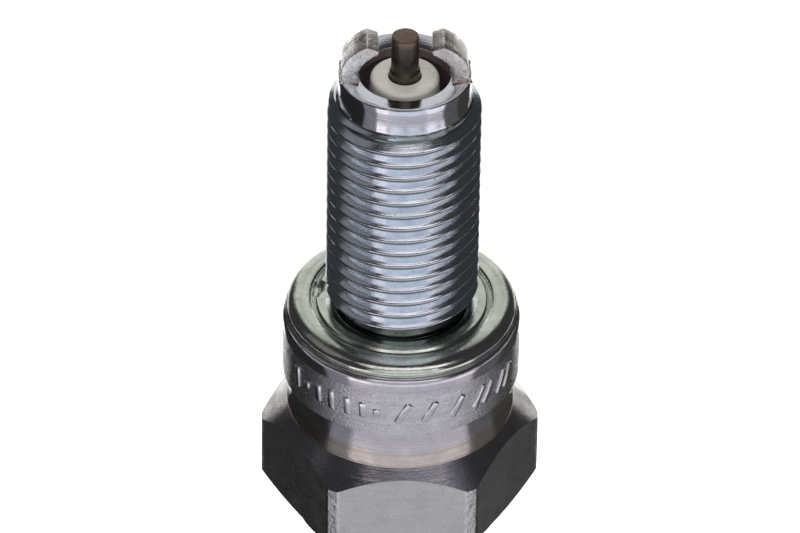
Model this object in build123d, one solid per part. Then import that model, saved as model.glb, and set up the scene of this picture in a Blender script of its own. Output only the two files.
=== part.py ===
from build123d import *
from math import tan, radians
import os

# Spark plug, M10 x 1 thread, flat seat, two side electrodes. Millimetres.
# +Z runs along the plug's axis towards the firing end. z = 0 is the gasket's sealing face,
# which meets the cylinder head. X runs through the two side electrodes, and two hex flats face +Y and -Y.

# Shell: thread end
reach = 19.0  # seat shoulder to rim
rim_step = 0.7  # plain rim below the thread's crests, on the radius
rim_bore_r = 2.92
rim_edge = 0.15
rim_land = 0.9
neck_length = 1.5
thread_major_r = 4.95
thread_pitch = 1.0
thread_start = 2.0  # rim to the first crest
relief_length = 2.0  # last crest to the shoulder
relief_step = 0.65  # relief below the thread's crests, on the radius
guide_wall = 0.8  # shell wall at the relief
cavity_r = 3.25
shell_ledge_r = 2.85
shell_seat_depth = 12.6  # rim to the ledge that carries the insulator

# Shell: barrel, hexagon and crimp
barrel_r = 7.7
barrel_edge = 0.35
barrel_length = 4.6
groove_r = 7.3
groove_length = 2.6
collar_r = 7.62
collar_length = 0.75
hex_across_flats = 16.0
hex_height = 5.9
hex_corner_r = 9.04
hex_chamfer_angle = 32.0
crimp_height = 2.0
crimp_wall = 0.85
flange_clearance = 0.15

# Gasket
gasket_thickness = 0.95
gasket_r = 7.5
gasket_play = 0.2  # lip clear of the relief
gasket_lip_width = 1.3
gasket_under_inset = 0.7
gasket_sheet = 0.32
gasket_step = 0.1  # lip below the flat top

# Insulator
insulator_setback = 0.3  # nose tip below the rim
nose_tip_r = 2.2
nose_root_r = 2.7
nose_edge = 0.3
body_clearance = 0.1
flange_length = 5.2
neck_r = 4.75
boot_step = 0.2  # glazed length outside the crimp, which the cap's boot grips, under the neck's radius
packing_gap = 1.0  # insulator neck to shell, filled by the wires and talc
head_length = 4.8  # last rib to the insulator's end
rib_count = 5
rib_pitch = 2.1
rib_crest_r = 4.35
rib_root_r = 3.75
insulator_end_r = 3.4
bore_r = 1.6
stem_clearance = 0.07
bore_step_depth = 14.6  # rim to the step that carries the centre electrode

# Centre electrode
electrode_rise = 2.8  # above the rim
electrode_tip_r = 0.9
electrode_stem_r = 1.05
electrode_head_clearance = 0.1
electrode_head_length = 1.2
electrode_crown_r = 1.1
electrode_crown_length = 0.8
core_r = 0.6
core_setback = 3.0  # copper ends this far behind the tip

# Side electrodes
strap_width = 2.2
strap_thickness = 1.05
strap_rise = 2.76
strap_upright = 1.2
strap_tip_land = 0.38
spark_gap = 0.78

# Packing and seals
packing_thickness = 0.3
packing_width = 0.5
wire_clearance = 0.02
talc_length = 2.6
lower_seal_length = 4.0
resistor_length = 6.0
resistor_clearance = 0.05
upper_seal_length = 4.4

# Terminal
seat_to_terminal = 50.5
stud_shank_clearance = 0.2
stud_foot_clearance = 0.1
stud_foot_length = 3.0
stud_foot_rings = 6
stud_foot_in_seal = 3.2
stud_flange_r = 2.7
stud_flange_length = 0.6
stud_thread_r = 2.0
stud_thread_pitch = 0.7
stud_end_gap = 0.9
nut_length = 8.8
nut_r = 3.175
nut_waist_r = 2.6
nut_waist_length = 2.4
nut_foot_length = 2.6
nut_edge = 0.45
nut_clearance = 0.05

# Levels along the axis, worked out from the sizes above
shoulder_z = -gasket_thickness
rim_z = shoulder_z + reach
thread_turns = int((reach - thread_start - relief_length) / thread_pitch + 0.001)
relief_z = rim_z - thread_start - thread_turns * thread_pitch
barrel_end_z = shoulder_z - barrel_length
groove_end_z = barrel_end_z - groove_length
hex_top_z = groove_end_z - collar_length
hex_bottom_z = hex_top_z - hex_height
crimp_end_z = hex_bottom_z - crimp_height
shell_seat_z = rim_z - shell_seat_depth
rim_r = thread_major_r - rim_step
relief_r = thread_major_r - relief_step
guide_r = relief_r - guide_wall
body_r = guide_r - body_clearance
flange_bore_r = neck_r + packing_gap
flange_r = flange_bore_r - flange_clearance
boot_r = neck_r - boot_step
gasket_lip_r = relief_r + gasket_play
gasket_fold_r = gasket_lip_r + gasket_lip_width
gasket_under_r = gasket_lip_r + gasket_under_inset
nose_bore_r = electrode_stem_r + stem_clearance
terminal_end_z = -seat_to_terminal
nut_top_z = terminal_end_z + nut_length
insulator_end_z = nut_top_z + stud_flange_length
ribs_z = insulator_end_z + head_length + rib_count * rib_pitch


def turned(points):
    """A solid of revolution about Z from its outline in the XZ plane."""
    outline = Polyline([(r, 0, z) for r, z in points], close=True)
    return revolve(make_face(outline), Axis.Z)


def cylinder_between(radius, low, high):
    return Pos(0, 0, low) * Cylinder(radius, high - low, align=(Align.CENTER, Align.CENTER, Align.MIN))


def thread_outline(major_r, pitch, first_z, turns):
    """Points of parallel rings with the metric thread's own section, going down from first_z."""
    depth = 0.6134 * pitch
    crest = pitch / 16
    flank = crest + depth * tan(radians(30))
    points = []
    for turn in range(turns + 1):
        z = first_z - turn * pitch
        points += [(major_r - depth, z + flank), (major_r, z + crest)]
        points += [(major_r, z - crest), (major_r - depth, z - flank)]
    return points


def hexagon(across_flats, low, high):
    sketch = RegularPolygon(across_flats / 2, 6, major_radius=False)
    return Pos(0, 0, low) * extrude(sketch, high - low)


def make_shell():
    slope = tan(radians(hex_chamfer_angle))
    edge_drop = (hex_corner_r - collar_r) * slope
    seat_rise = guide_r - shell_ledge_r
    cone_top_z = shoulder_z - 0.6
    lip_r = neck_r + 0.12
    crimp_r = flange_bore_r + crimp_wall
    thread = thread_outline(thread_major_r, thread_pitch, rim_z - thread_start, thread_turns)

    outside = [(0, rim_z), (rim_r - rim_edge, rim_z), (rim_r, rim_z - rim_edge)]
    outside += [(rim_r, rim_z - neck_length)] + thread
    outside += [(relief_r, relief_z - thread_pitch / 2), (relief_r, shoulder_z)]
    outside += [(barrel_r - barrel_edge, shoulder_z), (barrel_r, shoulder_z - barrel_edge)]
    outside += [(barrel_r, groove_end_z), (collar_r, groove_end_z), (collar_r, hex_top_z), (0, hex_top_z)]
    depth = barrel_r - groove_r
    groove_arc_r = (groove_length ** 2 / 4 + depth ** 2) / (2 * depth)
    groove = Pos(0, 0, (barrel_end_z + groove_end_z) / 2) * Torus(groove_r + groove_arc_r, groove_arc_r)
    blank = turned(outside) - groove

    # The hexagon is a six-sided bar with both ends turned to a shallow cone
    cone = [(0, hex_top_z), (collar_r, hex_top_z), (hex_corner_r, hex_top_z - edge_drop)]
    cone += [(hex_corner_r, hex_bottom_z + edge_drop), (collar_r, hex_bottom_z), (0, hex_bottom_z)]
    nut = hexagon(hex_across_flats, hex_bottom_z, hex_top_z) & turned(cone)

    # Thin lip behind the hexagon, rolled in over the insulator's shoulder
    curl_z = hex_bottom_z - crimp_height / 2
    lip = [(0, hex_bottom_z), (crimp_r, hex_bottom_z), (crimp_r, curl_z)]
    lip += [(crimp_r - 0.35, curl_z - 0.6), (lip_r + 0.35, crimp_end_z), (lip_r, crimp_end_z + 0.1)]
    lip += [(0, crimp_end_z + 0.1)]
    blank = blank + nut + turned(lip)

    bore = [(0, rim_z + 1), (rim_bore_r + rim_edge + 1, rim_z + 1), (rim_bore_r + rim_edge, rim_z)]
    bore += [(rim_bore_r, rim_z - rim_edge), (rim_bore_r, rim_z - rim_land)]
    bore += [(cavity_r, rim_z - rim_land - 0.3), (cavity_r, shell_seat_z + 1.6)]
    bore += [(shell_ledge_r, shell_seat_z + 1.2), (shell_ledge_r, shell_seat_z)]
    bore += [(guide_r, shell_seat_z - seat_rise), (guide_r, cone_top_z)]
    bore += [(flange_bore_r, cone_top_z - (flange_bore_r - guide_r)), (flange_bore_r, curl_z)]
    bore += [(lip_r, curl_z - 0.45), (lip_r, crimp_end_z - 1), (0, crimp_end_z - 1)]
    return blank - turned(bore)


def make_gasket():
    """Folded sheet ring: flat top, rounded rim, open inside, and a lip that keeps it on the thread."""
    middle_z = shoulder_z + gasket_thickness / 2
    bend_r = gasket_r - gasket_thickness / 2
    lip_z = -gasket_step
    under_z = shoulder_z + gasket_sheet
    top = Polyline([(gasket_lip_r, 0, lip_z - gasket_sheet), (gasket_lip_r, 0, lip_z),
                    (gasket_fold_r - gasket_step, 0, lip_z), (gasket_fold_r, 0, 0), (bend_r, 0, 0)])
    rim = ThreePointArc((bend_r, 0, 0), (gasket_r, 0, middle_z), (bend_r, 0, shoulder_z))
    under = Polyline([(bend_r, 0, shoulder_z), (gasket_under_r, 0, shoulder_z), (gasket_under_r, 0, under_z),
                      (bend_r, 0, under_z)])
    inner_rim = ThreePointArc((bend_r, 0, under_z), (gasket_r - gasket_sheet, 0, middle_z),
                              (bend_r, 0, -gasket_sheet))
    inside = Polyline([(bend_r, 0, -gasket_sheet), (gasket_fold_r + gasket_step, 0, -gasket_sheet),
                       (gasket_fold_r, 0, lip_z - gasket_sheet), (gasket_lip_r, 0, lip_z - gasket_sheet)])
    section = make_face(top.edges() + [rim] + under.edges() + [inner_rim] + inside.edges())
    return revolve(section, Axis.Z)


def make_insulator():
    tip_z = rim_z - insulator_setback
    seat_z = shell_seat_z - packing_thickness
    shoulder_top_z = shoulder_z - 0.9
    flange_top_z = shoulder_top_z - (flange_r - body_r)
    flange_end_z = flange_top_z - flange_length
    neck_z = flange_end_z - (flange_r - neck_r)
    outline = [(nose_bore_r, tip_z), (nose_tip_r - nose_edge, tip_z), (nose_tip_r, tip_z - nose_edge)]
    outline += [(nose_root_r, seat_z + shell_ledge_r - nose_root_r)]
    outline += [(body_r, seat_z - (body_r - shell_ledge_r)), (body_r, shoulder_top_z), (flange_r, flange_top_z)]
    outline += [(flange_r, flange_end_z), (neck_r, neck_z), (neck_r, crimp_end_z), (boot_r, crimp_end_z)]
    outline += [(boot_r, ribs_z)]
    for rib in range(rib_count):
        z = ribs_z - rib * rib_pitch
        outline += [(rib_root_r, z - 0.28 * rib_pitch), (rib_root_r, z - 0.48 * rib_pitch)]
        outline += [(rib_crest_r, z - 0.72 * rib_pitch), (rib_crest_r, z - rib_pitch)]
    outline += [(insulator_end_r + 0.5, insulator_end_z + 1.2), (insulator_end_r, insulator_end_z)]
    outline += [(bore_r, insulator_end_z)]
    step_z = rim_z - bore_step_depth
    outline += [(bore_r, step_z), (nose_bore_r, step_z)]
    return turned(outline)


def make_core():
    step_z = rim_z - bore_step_depth
    end_z = step_z - electrode_head_length - electrode_crown_length
    tip_z = rim_z + electrode_rise - core_setback
    return turned([(0, end_z), (core_r, end_z), (core_r, tip_z - core_r), (core_r * 0.6, tip_z), (0, tip_z)])


def make_electrode(core):
    step_z = rim_z - bore_step_depth
    head_z = step_z - electrode_head_length
    head_r = bore_r - electrode_head_clearance
    crown_z = head_z - electrode_crown_length
    tip_z = rim_z + electrode_rise
    outline = [(0, crown_z), (electrode_crown_r, crown_z), (electrode_crown_r, head_z)]
    outline += [(head_r, head_z), (head_r, step_z), (electrode_stem_r, step_z)]
    outline += [(electrode_stem_r, rim_z), (electrode_tip_r, rim_z + 0.5)]
    outline += [(electrode_tip_r, tip_z - 0.1), (electrode_tip_r - 0.1, tip_z), (0, tip_z)]
    return turned(outline) - core


def make_strap(side):
    """Bent strip standing on the rim, its end face slanted over the centre electrode's edge."""
    inner_r = rim_bore_r + 0.06
    outer_r = inner_r + strap_thickness
    tip_r = electrode_tip_r + spark_gap
    tip = (tip_r, 0, strap_rise - strap_tip_land)
    top = (tip_r + 0.82, 0, strap_rise)
    inside = Line((inner_r, 0, 0), (inner_r - 0.03, 0, strap_upright))
    inner_bend = ThreePointArc(inside @ 1, (inner_r * 0.62 + tip_r * 0.38, 0, strap_upright * 0.42 + tip[2] * 0.58), tip)
    end_face = Line(tip, top)
    outer_bend = ThreePointArc(top, (outer_r - 0.68, 0, strap_rise - 0.41), (outer_r - 0.34, 0, strap_upright + 0.4))
    outside = Line(outer_bend @ 1, (outer_r, 0, 0))
    foot = Line(outside @ 1, inside @ 0)
    face = make_face(Curve() + [inside, inner_bend, end_face, outer_bend, outside, foot])
    strap = Pos(0, 0, rim_z) * extrude(face, strap_width / 2, dir=(0, 1, 0), both=True)
    return strap if side > 0 else Rot(0, 0, 180) * strap


def make_packing():
    """Thin conical washer between the shell's ledge and the insulator's seat."""
    inner_r = shell_ledge_r + 0.05
    outer_r = inner_r + packing_width
    inner_z = shell_seat_z - (inner_r - shell_ledge_r)
    outer_z = shell_seat_z - (outer_r - shell_ledge_r)
    return turned([(inner_r, inner_z), (outer_r, outer_z), (outer_r, outer_z - packing_thickness),
                   (inner_r, inner_z - packing_thickness)])


def make_wire(z):
    wire_r = (flange_bore_r - neck_r) / 2 - wire_clearance
    return Pos(0, 0, z) * Torus((flange_bore_r + neck_r) / 2, wire_r)


def make_stud():
    foot_z = rim_z - bore_step_depth - lower_seal_length - resistor_length - upper_seal_length + stud_foot_in_seal
    end_z = terminal_end_z + stud_end_gap
    turns = int((nut_top_z - end_z - 1.0) / stud_thread_pitch)
    shank_r = bore_r - stud_shank_clearance
    foot_r = bore_r - stud_foot_clearance
    outline = [(0, foot_z)]
    ring = stud_foot_length / stud_foot_rings
    for groove in range(stud_foot_rings):
        z = foot_z - groove * ring
        outline += [(foot_r, z), (foot_r, z - ring / 2), (shank_r, z - ring / 2), (shank_r, z - ring)]
    outline += [(shank_r, insulator_end_z), (stud_flange_r, insulator_end_z), (stud_flange_r, nut_top_z)]
    thread = thread_outline(stud_thread_r, stud_thread_pitch, nut_top_z - stud_thread_pitch, turns)
    outline += [(thread[0][0], nut_top_z)] + thread
    outline += [(stud_thread_r - 0.5, end_z), (0, end_z)]
    return turned(outline)


def make_nut():
    bore = stud_thread_r + nut_clearance
    waist_top_z = nut_top_z - nut_foot_length
    waist_end_z = waist_top_z - nut_waist_length
    slope = nut_r - nut_waist_r
    outline = [(bore, nut_top_z), (nut_r - 0.2, nut_top_z), (nut_r, nut_top_z - 0.2), (nut_r, waist_top_z)]
    outline += [(nut_waist_r, waist_top_z - slope), (nut_waist_r, waist_end_z + slope), (nut_r, waist_end_z)]
    outline += [(nut_r, terminal_end_z + nut_edge), (nut_r - nut_edge, terminal_end_z)]
    outline += [(bore + 0.15, terminal_end_z), (bore, terminal_end_z + 0.15)]
    return turned(outline)


step_z = rim_z - bore_step_depth
resistor_z = step_z - lower_seal_length
upper_seal_z = resistor_z - resistor_length
flange_end_z = shoulder_z - 0.9 - (flange_r - body_r) - flange_length
lower_wire_z = flange_end_z - (flange_r - neck_r) - (flange_bore_r - neck_r) / 2
talc_top_z = lower_wire_z - (flange_bore_r - neck_r) / 2
upper_wire_z = talc_top_z - talc_length - (flange_bore_r - neck_r) / 2

core = make_core()
electrode = make_electrode(core)
stud = make_stud()
lower_seal = cylinder_between(bore_r, resistor_z, step_z) - electrode - core
talc = cylinder_between(flange_bore_r, talc_top_z - talc_length, talc_top_z)
talc -= cylinder_between(neck_r, talc_top_z - talc_length, talc_top_z)

parts = {
    "metal_shell": make_shell(),
    "seat_gasket": make_gasket(),
    "side_electrode_left": make_strap(-1),
    "side_electrode_right": make_strap(1),
    "insulator": make_insulator(),
    "inner_packing": make_packing(),
    "lower_wire_ring": make_wire(lower_wire_z),
    "talc_packing": talc,
    "upper_wire_ring": make_wire(upper_wire_z),
    "centre_electrode": electrode,
    "electrode_core": core,
    "lower_glass_seal": lower_seal,
    "resistor": cylinder_between(bore_r - resistor_clearance, upper_seal_z, resistor_z),
    "upper_glass_seal": cylinder_between(bore_r, upper_seal_z - upper_seal_length, upper_seal_z) - stud,
    "terminal_stud": stud,
    "terminal_nut": make_nut(),
}

os.makedirs("parts", exist_ok=True)
for name, solid in parts.items():
    export_step(solid, f"parts/{name}.step")
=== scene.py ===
from math import atan2, ceil, cos, degrees, hypot, pi, radians, sin, tan
from types import SimpleNamespace

import bmesh
import bpy
from mathutils import Matrix, Vector, noise


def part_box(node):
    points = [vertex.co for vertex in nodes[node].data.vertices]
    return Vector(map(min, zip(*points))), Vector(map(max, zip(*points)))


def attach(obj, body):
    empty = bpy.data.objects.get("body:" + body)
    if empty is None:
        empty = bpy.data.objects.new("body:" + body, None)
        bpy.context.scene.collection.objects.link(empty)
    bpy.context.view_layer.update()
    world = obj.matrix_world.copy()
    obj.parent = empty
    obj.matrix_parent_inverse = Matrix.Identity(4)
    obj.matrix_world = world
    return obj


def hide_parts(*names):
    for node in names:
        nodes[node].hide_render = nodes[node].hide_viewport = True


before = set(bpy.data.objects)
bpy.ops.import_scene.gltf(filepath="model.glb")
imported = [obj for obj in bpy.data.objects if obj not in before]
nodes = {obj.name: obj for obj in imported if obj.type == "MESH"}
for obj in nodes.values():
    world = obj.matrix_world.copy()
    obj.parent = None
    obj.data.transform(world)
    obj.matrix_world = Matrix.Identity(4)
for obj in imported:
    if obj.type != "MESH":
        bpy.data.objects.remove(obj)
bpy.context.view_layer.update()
mm = 0.001
print("frame loaded,", len(nodes), "nodes")

# heights the pieces share, read from the CAD, in mm
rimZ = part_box("metal_shell")[1].z / mm
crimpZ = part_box("metal_shell")[0].z / mm
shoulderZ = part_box("seat_gasket")[0].z / mm
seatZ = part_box("seat_gasket")[1].z / mm
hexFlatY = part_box("metal_shell")[1].y / mm
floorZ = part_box("terminal_nut")[0].z / mm
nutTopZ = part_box("terminal_nut")[1].z / mm
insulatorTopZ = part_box("insulator")[1].z / mm
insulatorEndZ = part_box("insulator")[0].z / mm
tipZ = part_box("centre_electrode")[1].z / mm
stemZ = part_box("centre_electrode")[0].z / mm
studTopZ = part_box("terminal_stud")[1].z / mm
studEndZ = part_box("terminal_stud")[0].z / mm


# node helpers

def feed(tree, target, inputs):  # links sockets, sets plain numbers and colours
    for key, value in inputs.items():
        socket = target.inputs[key]
        if isinstance(value, bpy.types.NodeSocket):
            tree.links.new(value, socket)
        else:
            socket.default_value = (*value, 1) if socket.type == "RGBA" else value


def node(tree, kind, inputs=None, **settings):
    made = tree.nodes.new(kind)
    for key, value in settings.items():
        setattr(made, key, value)
    feed(tree, made, inputs or {})
    return made


def maths(tree, operation, first, second=0.0):
    return node(tree, "ShaderNodeMath", {0: first, 1: second}, operation=operation).outputs[0]


def times(tree, first, second):
    return maths(tree, "MULTIPLY", first, second)


def fade(tree, value, start, end, low=0.0, high=1.0):
    ranges = {"Value": value, "From Min": start, "From Max": end, "To Min": low, "To Max": high}
    return node(tree, "ShaderNodeMapRange", ranges, interpolation_type="SMOOTHSTEP").outputs["Result"]


def blendColor(tree, share, first, second):
    return node(tree, "ShaderNodeMix", {0: share, 6: first, 7: second}, data_type="RGBA").outputs[2]


def noiseValue(tree, place, scale, detail=3.0, roughness=0.55, distortion=0.0):
    values = {"Vector": place, "Scale": scale, "Detail": detail, "Roughness": roughness,
              "Distortion": distortion}
    return node(tree, "ShaderNodeTexNoise", values).outputs["Fac"]


def shaderGroup(name, inputs, outputs):
    tree = bpy.data.node_groups.new(name, "ShaderNodeTree")
    for label, kind, value in inputs:
        socket = tree.interface.new_socket(label, in_out="INPUT", socket_type="NodeSocket" + kind)
        if value is not None:
            socket.default_value = value
    for label, kind in outputs:
        tree.interface.new_socket(label, in_out="OUTPUT", socket_type="NodeSocket" + kind)
    return tree, tree.nodes.new("NodeGroupInput").outputs, tree.nodes.new("NodeGroupOutput").inputs


def useGroup(tree, group, inputs):
    return node(tree, "ShaderNodeGroup", inputs, node_tree=group).outputs


def makeTurnedPlace():  # where a point lies on a turned piece: radius and level in mm, angle in radians
    tree, given, out = shaderGroup("turnedPlace", [("Place", "Vector", None)],
                                   [("Radius", "Float"), ("Level", "Float"), ("Around", "Float")])
    parts = node(tree, "ShaderNodeSeparateXYZ", {0: given["Place"]}).outputs
    square = maths(tree, "ADD", times(tree, parts[0], parts[0]), times(tree, parts[1], parts[1]))
    tree.links.new(times(tree, maths(tree, "SQRT", square), 1 / mm), out["Radius"])
    tree.links.new(times(tree, parts[2], 1 / mm), out["Level"])
    tree.links.new(maths(tree, "ARCTAN2", parts[1], parts[0]), out["Around"])
    return tree


def makeTurningLines():  # fine rings a cutting tool leaves, and slow streaks along them
    tree, given, out = shaderGroup(
        "turningLines",
        [("Level", "Float", 0.0), ("Radius", "Float", 0.0), ("Around", "Float", 0.0),
         ("Per mm", "Float", 12.0)],
        [("Height", "Float"), ("Streak", "Float")])
    level = times(tree, given["Level"], given["Per mm"])
    radius = times(tree, given["Radius"], given["Per mm"])
    around = times(tree, given["Around"], 0.35)
    place = node(tree, "ShaderNodeCombineXYZ", {0: level, 1: radius, 2: around}).outputs[0]
    tree.links.new(noiseValue(tree, place, 1.0, 2.0, 0.6), out["Height"])
    tree.links.new(noiseValue(tree, place, 0.22, 3.0, 0.6), out["Streak"])
    return tree


def makeSurfaceGrain():  # blasted or rolled skin: height, and a mask of its deeper pits
    tree, given, out = shaderGroup("surfaceGrain", [("Place", "Vector", None), ("Per mm", "Float", 8.0)],
                                   [("Height", "Float"), ("Pits", "Float"), ("Blotch", "Float")])
    scale = times(tree, given["Per mm"], 1 / mm)
    fine = noiseValue(tree, given["Place"], scale, 4.0, 0.65)
    cells = node(tree, "ShaderNodeTexVoronoi", {"Vector": given["Place"], "Scale": times(tree, scale, 0.6)})
    cellHeight = fade(tree, cells.outputs["Distance"], 0.0, 0.75)
    tree.links.new(maths(tree, "ADD", times(tree, fine, 0.7), times(tree, cellHeight, 0.3)), out["Height"])
    tree.links.new(fade(tree, fine, 0.36, 0.44, 1.0, 0.0), out["Pits"])
    blotch = noiseValue(tree, given["Place"], times(tree, scale, 0.09), 4.0, 0.6, 0.6)
    tree.links.new(blotch, out["Blotch"])
    return tree


def makeScuffs():  # thin scratches and rubs crossing each other
    tree, given, out = shaderGroup(
        "scuffs", [("Place", "Vector", None), ("Per mm", "Float", 1.0), ("Cover", "Float", 0.3)],
        [("Mask", "Float")])
    scale = times(tree, given["Per mm"], 1 / mm)
    total = None
    for turn, stretch in (((0.3, 0.7, 0.2), (1.0, 1.0, 9.0)), ((1.2, 0.1, 0.9), (1.0, 8.0, 1.0))):
        turned = node(tree, "ShaderNodeMapping", {"Vector": given["Place"], "Rotation": turn,
                                                  "Scale": stretch})
        lines = noiseValue(tree, turned.outputs[0], scale, 5.0, 0.7)
        mask = fade(tree, lines, 0.66, 0.72)
        total = mask if total is None else maths(tree, "MAXIMUM", total, mask)
    patchy = fade(tree, noiseValue(tree, given["Place"], times(tree, scale, 0.35)), 0.4, 0.6)
    cover = times(tree, times(tree, total, patchy), given["Cover"])
    tree.links.new(cover, out["Mask"])
    return tree


def makeSpecks():  # dust and tiny bright or dark points
    tree, given, out = shaderGroup(
        "specks", [("Place", "Vector", None), ("Per mm", "Float", 2.0), ("Size", "Float", 0.12)],
        [("Mask", "Float")])
    scale = times(tree, given["Per mm"], 1 / mm)
    cells = node(tree, "ShaderNodeTexVoronoi", {"Vector": given["Place"], "Scale": scale, "Randomness": 1.0})
    chance = node(tree, "ShaderNodeSeparateColor", {0: cells.outputs["Color"]}).outputs[0]
    size = times(tree, given["Size"], chance)
    near = maths(tree, "LESS_THAN", cells.outputs["Distance"], size)
    tree.links.new(near, out["Mask"])
    return tree


turnedPlace = makeTurnedPlace()
turningLines = makeTurningLines()
surfaceGrain = makeSurfaceGrain()
scuffs = makeScuffs()
specks = makeSpecks()
print("shader groups built")


def startMaterial(name):
    material = bpy.data.materials.new(name)
    material.use_nodes = True
    tree = material.node_tree
    tree.nodes.clear()
    place = node(tree, "ShaderNodeTexCoord").outputs["Object"]
    shader = node(tree, "ShaderNodeBsdfPrincipled")
    end = node(tree, "ShaderNodeOutputMaterial")
    tree.links.new(shader.outputs[0], end.inputs["Surface"])
    return material, tree, place, shader


def connectShader(tree, shader, color, rough, height):
    bump = node(tree, "ShaderNodeBump", {"Height": height, "Strength": 1.0, "Distance": mm * 10})
    feed(tree, shader, {"Base Color": color, "Roughness": rough, "Normal": bump.outputs[0]})


# groove, when given, is the radius range where painted shade darkens the thread roots
metalDefaults = {
    "fresh": (0.83, 0.84, 0.9), "shade": (0.55, 0.56, 0.62), "stain": (0.3, 0.2, 0.14), "stainAmount": 0.0,
    "rough": 0.14, "roughSpread": 0.12, "linesPerMm": 12.0, "lineDepth": 0.0008, "grainPerMm": 9.0,
    "grainDepth": 0.0006, "scuffCover": 0.25, "speckSize": 0.08, "shadeFrom": 0.35, "shadeTo": 0.68,
    "metallic": 1.0, "groove": None, "pitSpeckAndRootShadeColor": (0.2, 0.22, 0.2), "rootShadeShare": 0.85, "levels": None,
    "rubsPerMm": 0.9, "rubColor": (0.93, 0.92, 0.9), "rubRough": 0.2, "specksPerMm": 1.6, "speckShare": 0.6,
    "coarseFrom": 0.001, "pitShares": (0.12, 0.35), "corners": 0.0, "cornerBand": (0.045, 0.07),
    "chipsPerMm": 2.6, "chipColor": (0.8, 0.79, 0.78), "chipPolish": 0.15}


def makeMetal(name, look):
    look = {**metalDefaults, **look}
    material, tree, place, shader = startMaterial(name)
    where = useGroup(tree, turnedPlace, {"Place": place})
    lines = useGroup(tree, turningLines, {"Level": where["Level"], "Radius": where["Radius"],
                                          "Around": where["Around"], "Per mm": look["linesPerMm"]})
    grain = useGroup(tree, surfaceGrain, {"Place": place, "Per mm": look["grainPerMm"]})
    rubs = useGroup(tree, scuffs, {"Place": place, "Per mm": look["rubsPerMm"], "Cover": look["scuffCover"]})
    dots = useGroup(tree, specks, {"Place": place, "Per mm": look["specksPerMm"], "Size": look["speckSize"]})
    cloudy = maths(tree, "ADD", times(tree, grain["Blotch"], 0.6), times(tree, lines["Streak"], 0.4))
    color = blendColor(tree, fade(tree, cloudy, look["shadeFrom"], look["shadeTo"]), look["fresh"],
                       look["shade"])
    if look["stainAmount"]:
        stained = times(tree, fade(tree, grain["Blotch"], 0.42, 0.62), look["stainAmount"])
        if look["levels"]:
            low, high = look["levels"]
            stained = times(tree, stained, fade(tree, where["Level"], low, high))
        color = blendColor(tree, stained, color, look["stain"])
    pits = times(tree, grain["Pits"], look["pitShares"][look["grainDepth"] > look["coarseFrom"]])
    color = blendColor(tree, pits, color, look["pitSpeckAndRootShadeColor"])
    color = blendColor(tree, rubs["Mask"], color, look["rubColor"])
    color = blendColor(tree, times(tree, dots["Mask"], look["speckShare"]), color, look["pitSpeckAndRootShadeColor"])
    # painted shade: darkens the thread roots between the groove radii, most at the deeper radius
    if look["groove"]:
        deep, shallow = look["groove"]
        rootShade = fade(tree, where["Radius"], deep, shallow, look["rootShadeShare"], 0.0)
        color = blendColor(tree, rootShade, color, look["pitSpeckAndRootShadeColor"])
    rough = fade(tree, grain["Blotch"], 0.3, 0.7, look["rough"], look["rough"] + look["roughSpread"])
    rough = maths(tree, "ADD", rough, times(tree, rubs["Mask"], look["rubRough"]))
    height = maths(tree, "ADD", times(tree, lines["Height"], look["lineDepth"]),
                   times(tree, grain["Height"], look["grainDepth"]))
    if look["corners"]:  # battered corner bands on the hexagon
        corner = maths(tree, "PINGPONG", where["Around"], pi / 6)
        band = fade(tree, corner, *look["cornerBand"], 1.0, 0.0)
        coarse = useGroup(tree, surfaceGrain, {"Place": place, "Per mm": look["chipsPerMm"]})
        chips = times(tree, band, fade(tree, coarse["Height"], 0.42, 0.56))
        color = blendColor(tree, chips, color, look["chipColor"])
        dents = times(tree, times(tree, band, coarse["Height"]), look["corners"])
        height = maths(tree, "ADD", height, dents)
        rough = maths(tree, "SUBTRACT", rough, times(tree, chips, look["chipPolish"]))
    connectShader(tree, shader, color, rough, height)
    shader.inputs["Metallic"].default_value = look["metallic"]
    return material


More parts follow.
